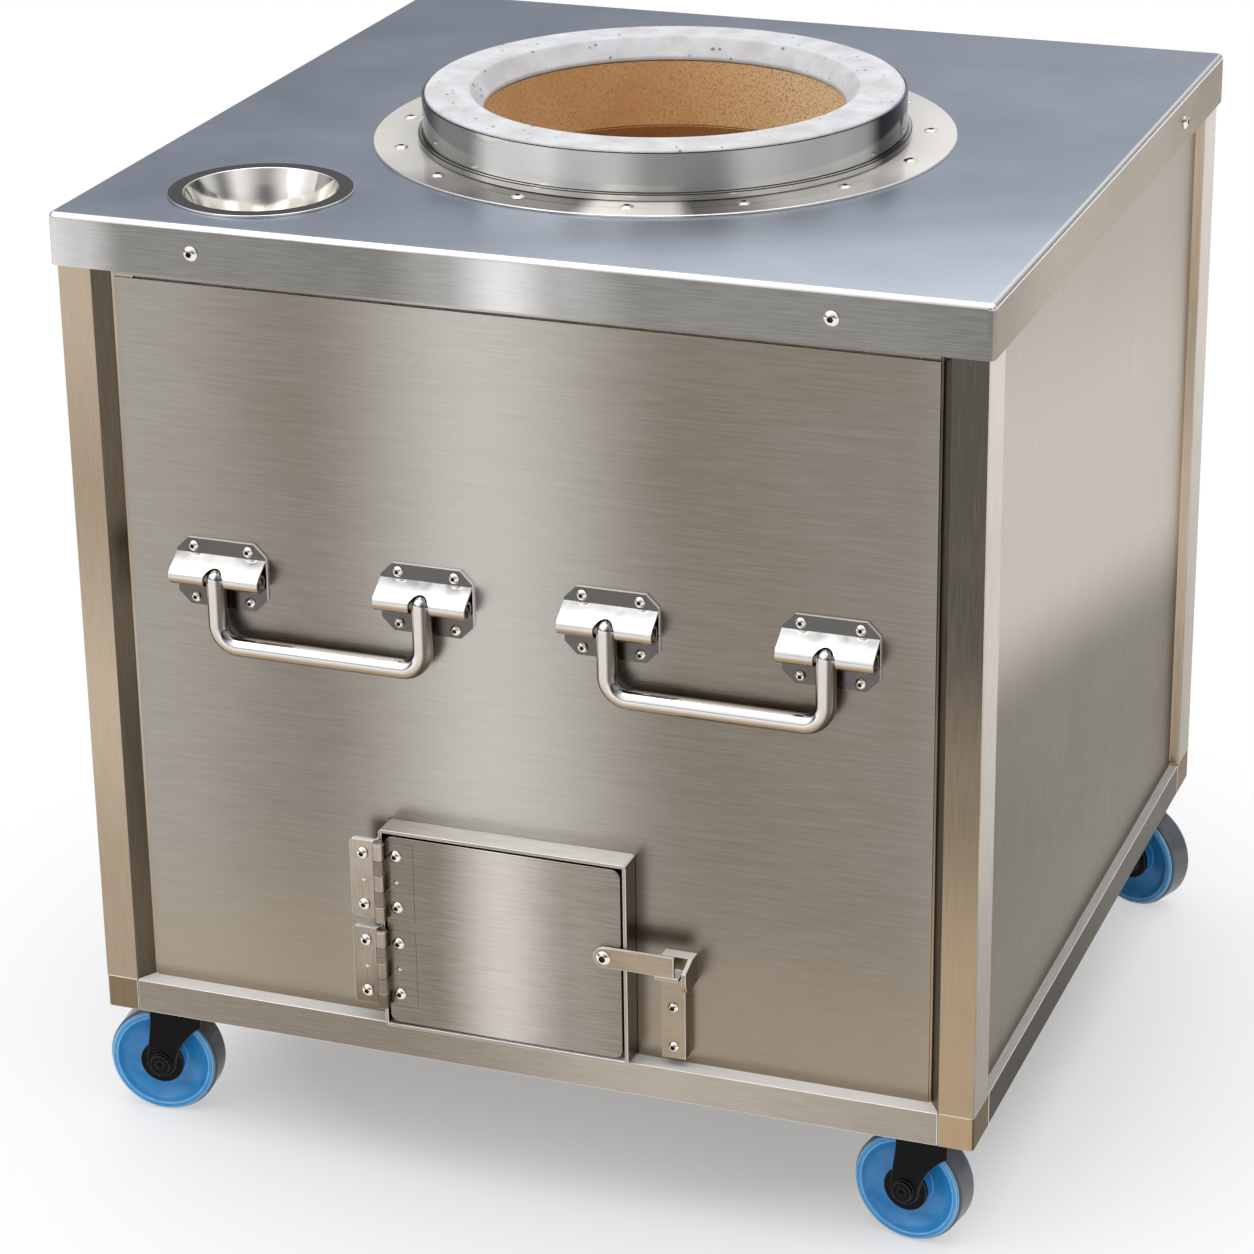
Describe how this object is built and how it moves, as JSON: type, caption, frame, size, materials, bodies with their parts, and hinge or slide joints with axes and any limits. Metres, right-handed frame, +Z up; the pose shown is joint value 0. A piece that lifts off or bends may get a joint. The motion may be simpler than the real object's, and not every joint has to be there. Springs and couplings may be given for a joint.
{
  "type": "clay tandoor oven",
  "caption": "Wheeled steel cabinet round a clay oven pot with a round mouth in its top, a draught door and folding handles.",
  "frame": {"origin": "on the floor, under the middle of the whole oven", "axes": "+Z up, -Y towards the side with the draught door and handles, +X to its right"},
  "size_m": [0.8284, 0.812, 0.89],
  "materials": {
    "brushed_steel": "satin brushed stainless steel",
    "casing_steel": "brushed stainless sheet, vertical or level grain",
    "polished_steel": "mirror polished stainless steel",
    "hinge_steel": "satin stainless steel",
    "screw_steel": "bright plated",
    "refractory": "matt cast refractory, fine pits",
    "clay": "matt fired clay",
    "insulation": "light mineral fill",
    "cast_iron": "rough cast",
    "wheel_blue": "satin",
    "tyre_grey": "matt",
    "fork_black": "satin black",
    "caster_zinc": "zinc plated"
  },
  "bodies": {
    "cabinet": {"top_plate": "brushed_steel", "lip_screws": "screw_steel", "mouth_flange": "polished_steel", "flange_screws": "screw_steel", "mouth_collar": "polished_steel", "mouth_ring": "refractory", "clay_pot": "clay", "fire_grate": "cast_iron", "insulation": "insulation", "drop_in_cup": "polished_steel", "front_panel": "casing_steel", "back_panel": "casing_steel", "left_panel": "casing_steel", "right_panel": "casing_steel", "base_plate": "casing_steel", "door_frame": "casing_steel", "air_duct": "casing_steel", "hinge_brackets": "hinge_steel", "hinge_leaves_fixed": "hinge_steel", "hinge_pins": "hinge_steel", "hinge_screws": "screw_steel", "latch_keeper": "hinge_steel", "keeper_screws": "screw_steel", "handle_plates": "polished_steel", "handle_hoods": "polished_steel", "handle_screws": "screw_steel", "caster_plates": "caster_zinc", "caster_bolts": "caster_zinc", "post_front_left": "casing_steel", "foot_front_left": "casing_steel", "post_front_right": "casing_steel", "foot_front_right": "casing_steel", "post_back_left": "casing_steel", "foot_back_left": "casing_steel", "post_back_right": "casing_steel", "foot_back_right": "casing_steel", "rail_front": "casing_steel", "rail_back": "casing_steel", "rail_left": "casing_steel", "rail_right": "casing_steel"},
    "door": {"door_panel": "casing_steel", "hinge_leaves_door": "casing_steel", "door_screws": "screw_steel", "latch_pivot": "screw_steel"},
    "latch": {"latch_bar": "hinge_steel"},
    "handle_left": {"handle_bar_left": "polished_steel"},
    "handle_right": {"handle_bar_right": "polished_steel"},
    "fork_front_left": {"caster_fork_front_left": "fork_black"},
    "wheel_front_left": {"caster_wheel_front_left": "wheel_blue", "caster_tyre_front_left": "tyre_grey"},
    "fork_front_right": {"caster_fork_front_right": "fork_black"},
    "wheel_front_right": {"caster_wheel_front_right": "wheel_blue", "caster_tyre_front_right": "tyre_grey"},
    "fork_back_left": {"caster_fork_back_left": "fork_black"},
    "wheel_back_left": {"caster_wheel_back_left": "wheel_blue", "caster_tyre_back_left": "tyre_grey"},
    "fork_back_right": {"caster_fork_back_right": "fork_black"},
    "wheel_back_right": {"caster_wheel_back_right": "wheel_blue", "caster_tyre_back_right": "tyre_grey"}
  },
  "joints": [
    {"name": "door_hinge", "type": "hinge", "parent": "cabinet", "child": "door", "pos_m": [-0.122, -0.39915, 0.24], "axis": [0, 0, -1], "range_deg": [0, 180]},
    {"name": "latch_pivot", "type": "hinge", "parent": "door", "child": "latch", "pos_m": [0.079, -0.39485, 0.248], "axis": [0, -1, 0], "range_deg": [0, 90]},
    {"name": "handle_left_pivot", "type": "hinge", "parent": "cabinet", "child": "handle_left", "pos_m": [-0.174, -0.38385, 0.538], "axis": [-1, 0, 0], "range_deg": [0, 90]},
    {"name": "handle_right_pivot", "type": "hinge", "parent": "cabinet", "child": "handle_right", "pos_m": [0.174, -0.38385, 0.538], "axis": [-1, 0, 0], "range_deg": [0, 90]},
    {"name": "swivel_front_left", "type": "hinge", "parent": "cabinet", "child": "fork_front_left", "pos_m": [-0.348, -0.33785, 0.12], "axis": [0, 0, 1], "continuous": true},
    {"name": "wheel_front_left", "type": "hinge", "parent": "fork_front_left", "child": "wheel_front_left", "pos_m": [-0.36388, -0.3398, 0.05], "axis": [-0.1219, 0.9925, 0], "continuous": true},
    {"name": "swivel_front_right", "type": "hinge", "parent": "cabinet", "child": "fork_front_right", "pos_m": [0.348, -0.33785, 0.12], "axis": [0, 0, 1], "continuous": true},
    {"name": "wheel_front_right", "type": "hinge", "parent": "fork_front_right", "child": "wheel_front_right", "pos_m": [0.33224, -0.33507, 0.05], "axis": [0.1736, 0.9848, 0], "continuous": true},
    {"name": "swivel_back_left", "type": "hinge", "parent": "cabinet", "child": "fork_back_left", "pos_m": [-0.348, 0.34815, 0.12], "axis": [0, 0, 1], "continuous": true},
    {"name": "wheel_back_left", "type": "hinge", "parent": "fork_back_left", "child": "wheel_back_left", "pos_m": [-0.35785, 0.36076, 0.05], "axis": [0.788, 0.6157, 0], "continuous": true},
    {"name": "swivel_back_right", "type": "hinge", "parent": "cabinet", "child": "fork_back_right", "pos_m": [0.348, 0.34815, 0.12], "axis": [0, 0, 1], "continuous": true},
    {"name": "wheel_back_right", "type": "hinge", "parent": "fork_back_right", "child": "wheel_back_right", "pos_m": [0.36284, 0.34216, 0.05], "axis": [-0.3746, -0.9272, 0], "continuous": true}
  ]
}
